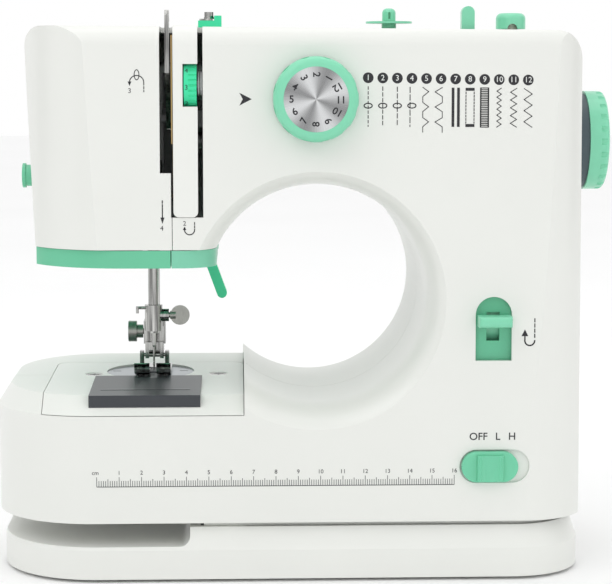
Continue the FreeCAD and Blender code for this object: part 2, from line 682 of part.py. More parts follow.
def needle_clamp():
    """Clamp block on the needle bar with a thread guide prong at its left."""
    block = fuse([rod_z(NEEDLE_X, NEEDLE_Y, 105.1, 117.4, 4.2),
                  rod_x(NEEDLE_X, NEEDLE_X + 7.3, NEEDLE_Y, 112.4, 3.0)])
    prong = fuse([rod_x(-78.6, NEEDLE_X - 3.4, NEEDLE_Y - 1.0, 116.0, 0.7),
                  rod_z(-78.2, NEEDLE_Y - 1.0, 113.4, 116.6, 0.7)])
    block = fuse([block, prong])
    block = block.cut(rod_z(NEEDLE_X, NEEDLE_Y, 100, 120, NEEDLE_BAR_R))
    return block.cut(rod_x(NEEDLE_X + 2, NEEDLE_X + 12, NEEDLE_Y, 112.4, 1.3 + RUN))


def clamp_screw():
    """Thumb screw with a flat paddle head."""
    stem = rod_x(NEEDLE_X + 2.7, -62.0, NEEDLE_Y, 112.4, 1.3)
    neck = rod_x(-62.6, -60.0, NEEDLE_Y, 112.4, 2.0)
    paddle = rod_y(-58.0, NEEDLE_Y - 1.1, NEEDLE_Y + 1.1, 112.4, 4.6)
    return fuse([stem, neck, paddle])


def needle():
    """Sewing needle with shank, blade and eye."""
    shank = rod_z(NEEDLE_X, NEEDLE_Y, 98.0, 111.8, 1.0)
    blade = rod_z(NEEDLE_X, NEEDLE_Y, 88.4, 98.5, 0.5)
    cone = Part.makeCone(0.5, 1.0, 1.6, V(NEEDLE_X, NEEDLE_Y, 97.0))
    tip = Part.makeCone(0.05, 0.5, 2.2, V(NEEDLE_X, NEEDLE_Y, 86.4))
    eye = rod_y(NEEDLE_X, NEEDLE_Y - 2, NEEDLE_Y + 2, 90.2, 0.2)
    return fuse([shank, blade, cone, tip]).cut(eye)


def presser_bar():
    """Presser bar with the bracket that the lifter raises."""
    return fuse([rod_z(NEEDLE_X, PRESSER_Y, 98.5, 216.0, PRESSER_R), presser_collar()])


def presser_collar():
    """Bracket on the presser bar that the lifter cam raises."""
    block = fuse([rod_z(NEEDLE_X, PRESSER_Y, 168.0, 176.0, 5.0), box(NEEDLE_X, -50.0, 17.0, 22.0, 168.0, 172.0),
                  box(-54.0, -50.0, 17.0, 22.0, 152.9, 172.0)])
    return block


def presser_spring():
    """Compression spring between the collar and the upper guide, as a coil."""
    helix = Part.makeHelix(4.6, 28.2, 4.0)
    helix.translate(V(NEEDLE_X, PRESSER_Y, 176.9))
    start = V(NEEDLE_X + 4.0, PRESSER_Y, 176.9)
    circle = Part.Wire(Part.makeCircle(0.6, start, V(0, 1, 0.18)))
    return Part.Wire(helix).makePipeShell([circle], True, True)


def foot_holder():
    """Ankle clamped to the presser bar."""
    parts = [box(NEEDLE_X - 5.2, NEEDLE_X + 5.2, PRESSER_Y - 4.6, PRESSER_Y + 4.6, 97.5, 108.5),
             box(NEEDLE_X - 4.4, NEEDLE_X + 4.4, PRESSER_Y - 7.6, PRESSER_Y + 3.0, 90.8, 98.5)]
    body = fuse(parts).cut(rod_z(NEEDLE_X, PRESSER_Y, 98.4, 120, PRESSER_R))
    body = body.cut(rod_x(NEEDLE_X - 9, NEEDLE_X - 2.6, PRESSER_Y, 103.0, 1.5 + RUN))
    return body.cut(box(NEEDLE_X - 2.6, NEEDLE_X + 2.6, PRESSER_Y - 9, PRESSER_Y - 3.0, 90, 94.8).fuse(rod_x(NEEDLE_X - 9, NEEDLE_X + 9, FOOT_PIN_Y, FOOT_PIN_Z, 0.95)))


def foot_screw():
    """Waisted thumb screw of the foot holder, slotted head."""
    x = NEEDLE_X - 2.8
    screw = fuse([rod_x(-79.2, x, PRESSER_Y, 103.0, 1.5), rod_x(-79.4, -76.2, PRESSER_Y, 103.0, 3.2),
                  rod_x(-83.2, -79.2, PRESSER_Y, 103.0, 5.0)])
    return screw.cut(box(-84, -81.8, PRESSER_Y - 0.5, PRESSER_Y + 0.5, 95, 111))


FOOT_PIN_Y = PRESSER_Y - 5.4
FOOT_PIN_Z = 92.3


def presser_foot():
    """Snap-on foot: sole with two toes, needle hole and cross pin."""
    side = [(20.0, 85.3), (-2.6, 85.3), (-5.4, 86.5), (-7.4, 88.6), (-8.4, 91.0), (-7.4, 91.3), (-6.2, 89.3),
            (-4.4, 87.9), (-2.0, 87.2), (21.0, 87.0)]
    sole = side_prism(side, -79.3, -62.2)
    gap = fuse([box(NEEDLE_X - 1.6, NEEDLE_X + 1.6, -10, 4.0, 80, 95),
                box(NEEDLE_X - 3.6, NEEDLE_X + 3.6, 4.0, 8.0, 80, 95)])
    sole = sole.cut(gap)
    ears = [box(NEEDLE_X - 7.0, NEEDLE_X - 5.0, FOOT_PIN_Y - 2.2, FOOT_PIN_Y + 2.2, 86.4, FOOT_PIN_Z + 2.0),
            box(NEEDLE_X + 5.0, NEEDLE_X + 7.0, FOOT_PIN_Y - 2.2, FOOT_PIN_Y + 2.2, 86.4, FOOT_PIN_Z + 2.0)]
    pin = rod_x(NEEDLE_X - 6.9, NEEDLE_X + 6.9, FOOT_PIN_Y, FOOT_PIN_Z, 0.9)
    return biggest(fuse([sole] + ears + [pin]))


LIFT_X = -47.5
LIFT_Y = 19.5
LIFT_Z = 147.0


def lifter_lever():
    """Green lever behind the head with a cam toe under the presser bracket."""
    arm = box(-2.4, 2.4, -3.0, 3.0, -27.5, 0)
    tip = Part.makeCylinder(2.4, 6.0, V(0, -3.0, -27.5), Y_AXIS)
    hub = Part.makeCylinder(4.0, 6.0, V(0, -3.0, 0), Y_AXIS)
    lever = fuse([arm, tip, hub])
    lever.rotate(V(0, 0, 0), Y_AXIS, -20)
    toe = box(-7.0, 0, -3.0, 3.0, -1.8, 1.8)
    toe.rotate(V(0, 0, 0), Y_AXIS, -20)
    lever = fuse([lever, toe])
    lever.translate(V(LIFT_X, LIFT_Y + 4.0, LIFT_Z))
    return lever.cut(rod_y(LIFT_X, 0, 60, LIFT_Z, 1.5 + RUN))


def take_up_lever():
    """Thread take-up lever: pivot eye, cranked arm and eyelet."""
    outline = [(-17.0, 203.0), (-38.5, 229.0), (-38.0, 252.5), (-39.5, 254.8), (-41.5, 254.8),
               (-43.2, 252.5), (-44.0, 227.0), (-26.0, 203.0)]
    arm = side_prism(outline, -62.5, -60.5)
    arm = fuse([arm, rod_x(-62.5, -60.5, TAKE_Y, TAKE_Z, 5.0)])
    arm = arm.cut(rod_x(-66, -50, TAKE_Y, TAKE_Z, 2.0 + RUN))
    return arm.cut(rod_x(-66, -50, -40.6, 250.6, 1.2))


TENSION_Y = -48.6
TENSION_Z = 221.6


def tension_wheel():
    """Knurled thread tension thumb wheel."""
    wheel = rod_x(-53.7, -48.1, TENSION_Y, TENSION_Z, 11.0)
    grooves = []
    for i in range(30):
        a = 2 * math.pi * i / 30
        grooves.append(rod_x(-51.6, -48.0, TENSION_Y + 11.0 * math.cos(a), TENSION_Z + 11.0 * math.sin(a), 0.45))
    wheel = wheel.cut(Part.makeCompound(grooves))
    return biggest(wheel.cut(rod_x(-60, -40, TENSION_Y, TENSION_Z, 2.0 + RUN)))


def tension_post():
    """Fixed post with the two tension discs, on a bracket of the chassis."""
    post = rod_x(-53.9, -40.0, TENSION_Y, TENSION_Z, 2.0)
    discs = [rod_x(-47.6, -46.9, TENSION_Y, TENSION_Z, 6.5), rod_x(-46.5, -45.8, TENSION_Y, TENSION_Z, 6.5)]
    bracket = box(-43.0, -40.0, TENSION_Y - 3, 30.0, TENSION_Z - 4, TENSION_Z + 4)
    return fuse([post, bracket] + discs)


def thread_guide_block():
    """Green guide block on top of the arm above the thread slot."""
    block = box(-47.8, -37.3, -31, -19, 247.3, 250.4)
    rise = box(-40.6, -37.3, -31, -19, 250.4, 252.6)
    body = fuse([block, rise])
    return body.cut(rod_z(-43.0, -25, 240, 260, 1.7))


def thread_guide_plate():
    """Metal pretension plate with its disc and screw."""
    plate = box(-47.2, -41.2, -30, -20, 250.5, 251.2)
    disc = rod_z(-43.0, -25, 251.2, 252.0, 2.3)
    head = rod_z(-43.0, -25, 252.0, 254.3, 2.1)
    stem = rod_z(-43.0, -25, 244.5, 252.0, 1.6)
    return fuse([plate, disc, head, stem]).cut(box(-46, -40, -25.4, -24.6, 253.4, 255))


def spool_base():
    """Flange and guide tube of the spool pin."""
    flange = rod_z(40.7, 2.0, 249.9, 250.8, 10.8)
    tube = rod_z(40.7, 2.0, 222.0, 250.2, 3.4)
    base = fuse([flange, tube])
    return base.cut(rod_z(40.7, 2.0, 215, 255, 2.3 + RUN))


def spool_pin():
    """Telescoping spool pin with a domed, slotted head."""
    stem = rod_z(40.7, 2.0, 214.0, 252.0, 2.3)
    head = rod_z(40.7, 2.0, 251.1, 256.9, 3.15)
    head = head.makeFillet(2.2, [e for e in head.Edges if e.CenterOfMass.z > 256.8])
    return fuse([stem, head]).cut(box(40.2, 41.2, -2.0, 0.4, 252.0, 255.0))


def winder_lever():
    """Bobbin stop lever of the winder, rounded at the top."""
    arm = box(71.0, 76.8, -33.0, -27.0, 232, 254.0)
    cap = rod_y(73.9, -33.0, -27.0, 254.0, 2.9)
    foot = rod_y(73.9, -33.0, -27.0, 233, 5.0)
    lever = fuse([arm, cap, foot])
    return lever.cut(rod_y(73.9, -40, -20, 233, 1.5 + RUN))


def winder_spindle():
    """Bobbin winder spindle with its friction wheel inside the arm."""
    return fuse([rod_z(94.85, -20, 226, 252.0, 3.0), rod_z(94.85, -20, 226, 230, 10.0)])


def winder_knob():
    """Green winder cap, domed, with an arch cut in its skirt."""
    cap = rod_z(94.85, -20, 246.9, 254.1, 6.75)
    cap = cap.makeFillet(2.6, [e for e in cap.Edges if e.CenterOfMass.z > 254.0])
    cap = cap.cut(rod_z(94.85, -20, 246, 250.6, 5.0))
    cap = cap.cut(rod_y(94.85, -30, -20, 246.9, 2.3))
    return cap.cut(rod_z(94.85, -20, 246, 252.0, 3.0))


def stitch_dial():
    """Stitch selector knob with its spindle and cams."""
    return fuse([dial_ring(), dial_spindle()])


def dial_ring():
    ring = rod_y(DIAL_X, -69.8, -59.2, DIAL_Z, DIAL_R)
    ring = ring.makeFillet(3.2, [e for e in ring.Edges if e.CenterOfMass.y < -69.7])
    flutes = []
    for i in range(12):
        a = math.radians(15 + 30 * i)
        flutes.append(rod_y(DIAL_X + 26.2 * math.cos(a), -80, -61.5, DIAL_Z + 26.2 * math.sin(a), 8.0))
    ring = ring.cut(Part.makeCompound(flutes))
    return biggest(ring.cut(rod_y(DIAL_X, -80, -68.6, DIAL_Z, FACE_R)).cut(rod_y(DIAL_X, -70, -50, DIAL_Z, 4.0)))


def dial_face():
    """Turned metal disc that carries the stitch numbers."""
    return rod_y(DIAL_X, -69.4, -68.6, DIAL_Z, FACE_R)


def dial_spindle():
    parts = [rod_y(DIAL_X, -68.5, -12, DIAL_Z, 4.0)]
    for i, lobe in enumerate((0.0, 1.2, 2.2, 1.6, 0.6)):
        y = -44 + i * 5.4
        parts.append(rod_y(DIAL_X + lobe, y, y + 3.6, DIAL_Z + lobe * 0.5, 11.0))
    return fuse(parts)


REV_Y = -36.0
REV_Z = 117.6


def reverse_lever():
    """Reverse lever: broad finger pad, shank and pivot hub."""
    pad = box(75.9, 90.7, -69.8, -61.0, 115.4, 120.2)
    pad = pad.makeFillet(1.9, [e for e in pad.Edges if e.CenterOfMass.y < -69.7])
    shank = box(81.0, 85.6, -61.5, REV_Y, 115.4, 119.8)
    hub = rod_x(80.4, 86.2, REV_Y, REV_Z, 5.0)
    return fuse([pad, shank, hub, lever_apron()]).cut(rod_x(70, 95, REV_Y, REV_Z, 2.0 + RUN))


def lever_apron():
    """Curved shield on the reverse lever that closes the slot in the bezel in every position."""
    fan = [(REV_Y, REV_Z)]
    for deg in (-35, -10, 12, 31):
        a = math.radians(deg)
        fan.append((REV_Y - 30 * math.cos(a), REV_Z + 30 * math.sin(a)))
    ring = ring_x(79.4, 87.2, REV_Y, REV_Z, 19.6, 18.4)
    return ring.common(side_prism(fan, 79.0, 88.0))


def reverse_bezel():
    """Recessed green plate round the reverse lever."""
    plate = reverse_tool(1.8, -57.6, -56.2)
    return plate.cut(box(80.4, 86.2, -60, -50, 108.2, 121.0))


def speed_knob():
    """Three-position slide knob with grip ribs."""
    body = stadium_tool(81.9, SWITCH_Z, 25.4, 13.9, -64.3, SWITCH_FLOOR - 0.3)
    body = body.makeFillet(0.8, [e for e in body.Edges if e.CenterOfMass.y < -64.2])
    grip = box(76.0, 87.8, -66.2, -63.0, SWITCH_Z - 6.3, SWITCH_Z + 5.4)
    grip = grip.makeFillet(0.9, [e for e in grip.Edges if e.CenterOfMass.y < -66.1])
    grip = grip.cut(rod_z(81.9, -72.0, 40, 70, 6.9))
    ribs = []
    for off in (-5.0, -3.9, -2.8, 2.8, 3.9, 5.0):
        ribs.append(rod_z(81.9 + off, -66.4, 40, 70, 0.42))
    grip = grip.cut(Part.makeCompound(ribs))
    stem = box(79.0, 85.0, SWITCH_FLOOR - 1.0, -49.0, SWITCH_Z - 2.5, SWITCH_Z + 2.5)
    return biggest(fuse([body, grip, stem]))


def speed_switch():
    """Body of the slide switch behind the front wall."""
    body = box(72.5, 97.5, -55.0, -46.6, SWITCH_Z - 9, SWITCH_Z + 9)
    return body.cut(box(78.2, 91.0, -60, -48.4, SWITCH_Z - 3.0, SWITCH_Z + 3.0))


def circuit_board():
    """Control board behind the switch, with its larger components."""
    board = box(97, 120.8, 24, 25.6, 92, 140)
    parts = [rod_y(104, 13, 24.2, 105, 4.0), rod_y(114, 16, 24.2, 106, 3.0), box(102, 116, 18, 24.2, 118, 128)]
    return fuse([board] + parts)


def sockets():
    """Round power socket and, above it, the foot pedal socket, in the column's right wall."""
    return group([power_jack(), pedal_jack()])


def power_jack():
    body = fuse([rod_x(112, 125.8, 34, 52, 4.7), box(108, 119, 28, 40, 46, 58)])
    return body.cut(rod_x(114, 130, 34, 52, 2.8))


def pedal_jack():
    body = fuse([rod_x(112, 125.8, 34, 72, 3.7), box(108, 119, 28.5, 39.5, 66.5, 77.5)])
    return body.cut(rod_x(111, 130, 34, 72, 1.85))


def handwheel_hub():
    """Dark collar between the column and the wheel rim."""
    hub = fuse([rod_x(124.6, 132.2, SHAFT_Y, SHAFT_Z, 22.0), rod_x(122.0, 128.2, SHAFT_Y, SHAFT_Z, 8.4)])
    hub = hub.cut(rod_x(110, 140, SHAFT_Y, SHAFT_Z, 3.0))
    return hub.cut(rod_x(110, 126.05, SHAFT_Y, SHAFT_Z, 4.05))


def handwheel_rim():
    """Green hand wheel with grip notches round its outer edge."""
    rim = rod_x(132.2, 141.4, SHAFT_Y, SHAFT_Z, 23.0)
    rim = rim.makeFillet(2.4, [e for e in rim.Edges if e.CenterOfMass.x > 141.3])
    notches = []
    for i in range(24):
        a = 2 * math.pi * i / 24
        notches.append(rod_x(137.4, 145, SHAFT_Y + 23.6 * math.cos(a), SHAFT_Z + 23.6 * math.sin(a), 1.5))
    rim = rim.cut(Part.makeCompound(notches))
    return biggest(rim.cut(rod_x(130, 139.05, SHAFT_Y, SHAFT_Z, 3.0)).cut(rod_x(140.2, 145, SHAFT_Y, SHAFT_Z, 15)))


def side_button():
    """Green thread cutter on the needle end of the head, with a blade slit."""
    body = rod_x(-128.4, -118.0, -20, 180.4, 4.9)
    cap = rod_x(-128.4, -127.0, -20, 180.4, 5.6)
    return fuse([body, cap]).cut(box(-130, -126.0, -21, -14, 182.5, 183.4))


def sewing_lamp():
    """Lamp lens in the floor of the band, with its holder."""
    return fuse([rod_z(-98, -18, 141.6, 150, 7.6), rod_z(-98, -18, 150, 154, 9.5)])


PARTS = {
    "inner_frame": inner_frame, "lower_frame": lower_frame, "needle_plate": needle_plate,
    "bobbin_cover": bobbin_cover, "bed_screws": bed_screws, "strip_cover": strip_cover,
    "base_plate": base_plate, "battery_door": battery_door, "rubber_feet": rubber_feet,
    "main_shaft": main_shaft, "needle_link": needle_link, "timing_belt": timing_belt,
    "lower_shaft": lower_shaft, "drive_gear": drive_gear, "motor": motor, "motor_pinion": motor_pinion,
    "rotary_hook": rotary_hook, "bobbin_case": bobbin_case, "bobbin": bobbin, "feed_bar": feed_bar,
    "feed_dog": feed_dog, "needle_bar_cradle": needle_bar_cradle, "needle_bar": needle_bar,
    "needle_clamp": needle_clamp, "clamp_screw": clamp_screw, "needle": needle,
    "presser_bar": presser_bar, "presser_spring": presser_spring, "foot_holder": foot_holder,
    "foot_screw": foot_screw, "presser_foot": presser_foot, "lifter_lever": lifter_lever,
    "take_up_lever": take_up_lever, "tension_wheel": tension_wheel, "tension_post": tension_post,
    "thread_guide_block": thread_guide_block, "thread_guide_plate": thread_guide_plate,
    "spool_base": spool_base, "spool_pin": spool_pin, "winder_lever": winder_lever,
    "winder_spindle": winder_spindle, "winder_knob": winder_knob, "stitch_dial": stitch_dial,
    "dial_face": dial_face, "reverse_lever": reverse_lever, "reverse_bezel": reverse_bezel,
    "speed_knob": speed_knob, "speed_switch": speed_switch, "circuit_board": circuit_board,
    "sockets": sockets, "handwheel_hub": handwheel_hub, "handwheel_rim": handwheel_rim,
    "side_button": side_button, "sewing_lamp": sewing_lamp,
}


def export(name, shape):
    shape = shape.translated(V(0, SHIFT_Y, 0))
    shape.exportStep("parts/" + name + ".step")


def main():
    os.makedirs("parts", exist_ok=True)
    front, rear, face, cover = casing_parts()
    left, right = band_parts()
    export("front_shell", front)
    export("rear_shell", rear)
    export("head_face_cover", face)
    export("bed_cover_plate", cover)
    export("head_band_left", left)
    export("head_band_right", right)
    for name, make in PARTS.items():
        export(name, make())


main()
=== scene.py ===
import math

import bmesh
import bpy
from mathutils import Matrix, Vector


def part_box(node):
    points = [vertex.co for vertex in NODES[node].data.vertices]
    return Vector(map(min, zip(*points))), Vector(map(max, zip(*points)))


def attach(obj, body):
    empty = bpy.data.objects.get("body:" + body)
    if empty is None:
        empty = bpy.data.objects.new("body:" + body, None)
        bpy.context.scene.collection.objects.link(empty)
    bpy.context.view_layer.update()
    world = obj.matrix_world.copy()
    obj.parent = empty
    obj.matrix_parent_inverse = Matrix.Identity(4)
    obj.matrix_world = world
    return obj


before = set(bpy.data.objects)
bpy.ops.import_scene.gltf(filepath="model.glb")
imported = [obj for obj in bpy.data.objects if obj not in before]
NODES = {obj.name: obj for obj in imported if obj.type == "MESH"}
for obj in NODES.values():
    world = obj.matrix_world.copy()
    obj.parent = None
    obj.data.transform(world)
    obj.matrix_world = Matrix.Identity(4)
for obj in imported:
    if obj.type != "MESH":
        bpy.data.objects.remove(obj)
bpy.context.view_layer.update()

SHIFT = 4.0               # the CAD moves every part this far in +Y, in millimetres
ORANGE_PEEL = 0.00004     # height of the plastic's surface ripple, in metres
RAYS = 4.0                # broad painted reflection rays round the dial's face
FINE_RAYS = 26.0          # how finely its narrow painted reflection rays are divided
LETTER_SIZE = 1.38        # font size for letters one millimetre high


# ---------------------------------------------------------------- materials

def new_material(name):
    mat = bpy.data.materials.new(name)
    mat.use_nodes = True
    tree = mat.node_tree
    return mat, tree.nodes, tree.links, tree.nodes["Principled BSDF"]


def noise(nodes, links, scale, detail=3.0, stretch=(1, 1, 1)):
    coord = nodes.new("ShaderNodeTexCoord")
    mapping = nodes.new("ShaderNodeMapping")
    mapping.inputs["Scale"].default_value = stretch
    tex = nodes.new("ShaderNodeTexNoise")
    tex.inputs["Scale"].default_value = scale
    tex.inputs["Detail"].default_value = detail
    links.new(coord.outputs["Object"], mapping.inputs["Vector"])
    links.new(mapping.outputs["Vector"], tex.inputs["Vector"])
    return tex


def ramp(nodes, links, source, low, high, start=0.3, end=0.7):
    node = nodes.new("ShaderNodeValToRGB")
    node.color_ramp.elements[0].position = start
    node.color_ramp.elements[0].color = (*low, 1)
    node.color_ramp.elements[1].position = end
    node.color_ramp.elements[1].color = (*high, 1)
    links.new(source, node.inputs["Fac"])
    return node


def bump(nodes, links, source, bsdf, strength, distance):
    node = nodes.new("ShaderNodeBump")
    node.inputs["Strength"].default_value = strength
    node.inputs["Distance"].default_value = distance
    links.new(source, node.inputs["Height"])
    links.new(node.outputs["Normal"], bsdf.inputs["Normal"])


def uneven_gloss(nodes, links, source, bsdf, low, high):
    """Roughness that drifts between low and high with source."""
    node = nodes.new("ShaderNodeMapRange")
    node.inputs["To Min"].default_value = low
    node.inputs["To Max"].default_value = high
    links.new(source, node.inputs["Value"])
    links.new(node.outputs["Result"], bsdf.inputs["Roughness"])


def math_node(nodes, links, operation, source, second=None):
    """Math node fed by source, with a constant as its second input where one is given."""
    node = nodes.new("ShaderNodeMath")
    node.operation = operation
    links.new(source, node.inputs[0])
    if second is not None:
        node.inputs[1].default_value = second
    return node


def plastic(name, color, rough, spread, grain, coat=0.0, sss=0.0):
    """Moulded plastic: faint colour drift, orange-peel bump and uneven gloss."""
    mat, nodes, links, bsdf = new_material(name)
    broad = noise(nodes, links, 14.0, 4.0)
    low = tuple(max(0.0, c * (1 - spread)) for c in color)
    high = tuple(min(1.0, c * (1 + spread)) for c in color)
    col = ramp(nodes, links, broad.outputs["Fac"], low, high)
    links.new(col.outputs["Color"], bsdf.inputs["Base Color"])
    fine = noise(nodes, links, grain, 2.0)
    uneven_gloss(nodes, links, broad.outputs["Fac"], bsdf, rough - 0.05, rough + 0.07)
    bump(nodes, links, fine.outputs["Fac"], bsdf, 0.25, ORANGE_PEEL)
    bsdf.inputs["Coat Weight"].default_value = coat
    bsdf.inputs["Coat Roughness"].default_value = 0.12
    if sss:
        bsdf.inputs["Subsurface Weight"].default_value = sss
        bsdf.inputs["Subsurface Radius"].default_value = (0.004, 0.004, 0.003)
        bsdf.inputs["Subsurface Scale"].default_value = 0.5
    return mat


def metal(name, color, rough, stretch=(1, 1, 1), scale=400.0, depth=0.00002, spread=0.08):
    """Metal with a fine directional grain in colour, gloss and bump; where spread is large, its dark
    streaks are painted reflections.
    """
    mat, nodes, links, bsdf = new_material(name)
    # grain: fine grain, and on the chrome also painted reflection streaks
    grain = noise(nodes, links, scale, 4.0, stretch)
    low = tuple(c * (1 - spread) for c in color)
    col = ramp(nodes, links, grain.outputs["Fac"], low, color)
    links.new(col.outputs["Color"], bsdf.inputs["Base Color"])
    bsdf.inputs["Metallic"].default_value = 1.0
    uneven_gloss(nodes, links, grain.outputs["Fac"], bsdf, max(0.03, rough - 0.05), rough + 0.08)
    bump(nodes, links, grain.outputs["Fac"], bsdf, 0.2, depth)
    return mat


def turned_metal(name, color, centre):
    """Disc faced on a lathe: fine rings in the bump, and painted reflection rays round the centre in the
    base colour.
    """
    mat, nodes, links, bsdf = new_material(name)
    coord = nodes.new("ShaderNodeTexCoord")
    offset = nodes.new("ShaderNodeVectorMath")
    offset.operation = "SUBTRACT"
    offset.inputs[1].default_value = centre
    links.new(coord.outputs["Object"], offset.inputs[0])
    split = nodes.new("ShaderNodeSeparateXYZ")
    links.new(offset.outputs["Vector"], split.inputs["Vector"])
    angle = math_node(nodes, links, "ARCTAN2", split.outputs["Z"])
    links.new(split.outputs["X"], angle.inputs[1])
    times = math_node(nodes, links, "MULTIPLY", angle.outputs["Value"], RAYS)
    sine = math_node(nodes, links, "SINE", times.outputs["Value"])
    ray = nodes.new("ShaderNodeMapRange")
    ray.inputs["From Min"].default_value = -1.0
    links.new(sine.outputs["Value"], ray.inputs["Value"])
    fine = math_node(nodes, links, "MULTIPLY", angle.outputs["Value"], FINE_RAYS)
    fine_noise = nodes.new("ShaderNodeTexNoise")
    fine_noise.noise_dimensions = "1D"
    fine_noise.inputs["Scale"].default_value = 3.0
    links.new(fine.outputs["Value"], fine_noise.inputs["W"])
    half = math_node(nodes, links, "MULTIPLY", ray.outputs["Result"], 0.45)
    mix = math_node(nodes, links, "MULTIPLY_ADD", fine_noise.outputs["Fac"], 0.55)
    links.new(half.outputs["Value"], mix.inputs[2])
    # dark: the shaded side of the painted reflection rays
    dark = tuple(c * 0.22 for c in color)
    col = ramp(nodes, links, mix.outputs["Value"], dark, color, 0.15, 0.85)
    links.new(col.outputs["Color"], bsdf.inputs["Base Color"])
    bsdf.inputs["Metallic"].default_value = 0.85
    bsdf.inputs["Roughness"].default_value = 0.36
    bsdf.inputs["Anisotropic"].default_value = 0.6
    rings = noise(nodes, links, 900.0, 2.0)
    bump(nodes, links, rings.outputs["Fac"], bsdf, 0.15, 0.00002)
    return mat


WHITE = plastic("shell plastic", (0.79, 0.80, 0.765), 0.32, 0.012, 700.0, 0.15)
WHITE_TOP = plastic("cover plastic", (0.81, 0.82, 0.785), 0.30, 0.012, 700.0, 0.15)
BASE = plastic("base plastic", (0.80, 0.81, 0.775), 0.36, 0.015, 600.0, 0.1)
MINT = plastic("mint plastic", (0.13, 0.53, 0.32), 0.32, 0.05, 800.0, 0.15, 0.04)
MINT_SOFT = plastic("pale mint plastic", (0.19, 0.57, 0.39), 0.36, 0.05, 800.0, 0.1, 0.04)
BRIGHT = plastic("bright green plastic", (0.035, 0.72, 0.36), 0.30, 0.05, 800.0, 0.1, 0.04)
MINT_KNOB = plastic("knob mint plastic", (0.15, 0.58, 0.36), 0.30, 0.05, 800.0, 0.2, 0.04)
MINT_LIGHT = plastic("light mint plastic", (0.21, 0.66, 0.43), 0.30, 0.05, 800.0, 0.2, 0.04)
SLATE = plastic("slate plastic", (0.065, 0.095, 0.110), 0.42, 0.10, 900.0)
BLACK = plastic("black plastic", (0.012, 0.012, 0.014), 0.40, 0.2, 900.0)
NYLON = plastic("gear nylon", (0.72, 0.70, 0.62), 0.45, 0.04, 700.0)
BOARD = plastic("board", (0.02, 0.11, 0.045), 0.5, 0.2, 300.0)
RUBBER = plastic("rubber", (0.02, 0.02, 0.021), 0.7, 0.2, 1200.0)
INK = plastic("ink", (0.016, 0.016, 0.020), 0.55, 0.2, 500.0)
INK_PALE = plastic("ink grey", (0.07, 0.078, 0.08), 0.55, 0.2, 500.0)
PAPER = plastic("white print", (0.80, 0.82, 0.80), 0.5, 0.05, 500.0)
# chrome plate: its dark and light streaks are painted reflections
CHROME = metal("chrome plate", (0.66, 0.66, 0.64), 0.15, (1, 1, 0.05), 700.0, 0.000005, 0.80)
# satin plate: its streaks are partly grain and partly painted reflection
THUMB = metal("satin plate", (0.46, 0.46, 0.43), 0.38, (1, 1, 0.3), 500.0, 0.000005, 0.30)
STEEL = metal("brushed steel", (0.40, 0.41, 0.41), 0.34, (1, 18, 1), 160.0)
PLATE = metal("needle plate steel", (0.40, 0.43, 0.45), 0.30, (14, 1, 1), 160.0)
CAST = metal("cast aluminium", (0.45, 0.46, 0.47), 0.55, (1, 1, 1), 500.0, 0.0001)
# dark material for the screw crosses: painted shade of the cross recesses
CROSS_RECESS_SHADE = metal("painted recess shade", (0.05, 0.052, 0.055), 0.35, (1, 1, 1), 300.0)
BRASS = metal("brass", (0.52, 0.36, 0.16), 0.30, (1, 1, 6), 260.0)
SMOKED = plastic("smoked cover", (0.035, 0.040, 0.048), 0.30, 0.12, 500.0)
LENS = plastic("lamp lens", (0.80, 0.83, 0.85), 0.20, 0.03, 500.0, 0.4, 0.2)

NODE_MATERIAL = {
    "front_shell": WHITE, "rear_shell": WHITE, "head_face_cover": WHITE, "strip_cover": WHITE_TOP,
    "bed_cover_plate": WHITE_TOP, "base_plate": BASE, "battery_door": BASE, "head_band_left": MINT,
    "head_band_right": MINT_SOFT, "rubber_feet": RUBBER, "needle_plate": PLATE, "bobbin_cover": SMOKED,
    "bed_screws": CHROME, "inner_frame": CAST, "lower_frame": CAST, "main_shaft": STEEL,
    "needle_link": BRASS, "timing_belt": RUBBER, "lower_shaft": STEEL, "drive_gear": NYLON,
    "motor": STEEL, "motor_pinion": BRASS, "rotary_hook": BLACK, "bobbin_case": BLACK, "bobbin": CHROME,
    "feed_bar": STEEL, "feed_dog": STEEL, "needle_bar_cradle": STEEL, "needle_bar": CHROME,
    "needle_clamp": CHROME, "clamp_screw": THUMB, "needle": CHROME, "presser_bar": CHROME,
    "presser_spring": STEEL, "foot_holder": CHROME, "foot_screw": THUMB, "presser_foot": CHROME,
    "lifter_lever": BRIGHT, "take_up_lever": CHROME, "tension_wheel": BRIGHT, "tension_post": STEEL,
    "thread_guide_block": BRIGHT, "thread_guide_plate": CHROME, "spool_base": MINT_LIGHT,
    "spool_pin": MINT_LIGHT, "winder_lever": MINT_LIGHT, "winder_spindle": NYLON,
    "winder_knob": MINT_LIGHT, "stitch_dial": MINT_LIGHT,
    "reverse_lever": MINT_LIGHT, "reverse_bezel": MINT, "speed_knob": MINT_KNOB,
    "speed_switch": BLACK, "circuit_board": BOARD, "sockets": BLACK, "handwheel_hub": SLATE,
    "handwheel_rim": MINT_LIGHT, "side_button": MINT, "sewing_lamp": LENS,
}


def at(x, y, z):
    """A CAD point in millimetres as a point in metres."""
    return Vector((x / 1000.0, (y + SHIFT) / 1000.0, z / 1000.0))


def middle(node):
    low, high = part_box(node)
    return (Vector(low) + Vector(high)) / 2


# the light rays on the dial face are a painted reflection
DIAL_METAL = turned_metal("ray painted dial metal", (0.82, 0.83, 0.84), tuple(middle("dial_face")))
NODE_MATERIAL["dial_face"] = DIAL_METAL
for node_name, node_mat in NODE_MATERIAL.items():
    mesh = NODES[node_name].data
    mesh.materials.clear()
    mesh.materials.append(node_mat)


# ------------------------------------------------------------ surfaces to print on

def front_y(z):
    """Y of the casing's front at height z, in CAD millimetres."""
    return -61.5 if z < 75.0 else -61.5 + 3.5 * (z - 75.0) / 165.0


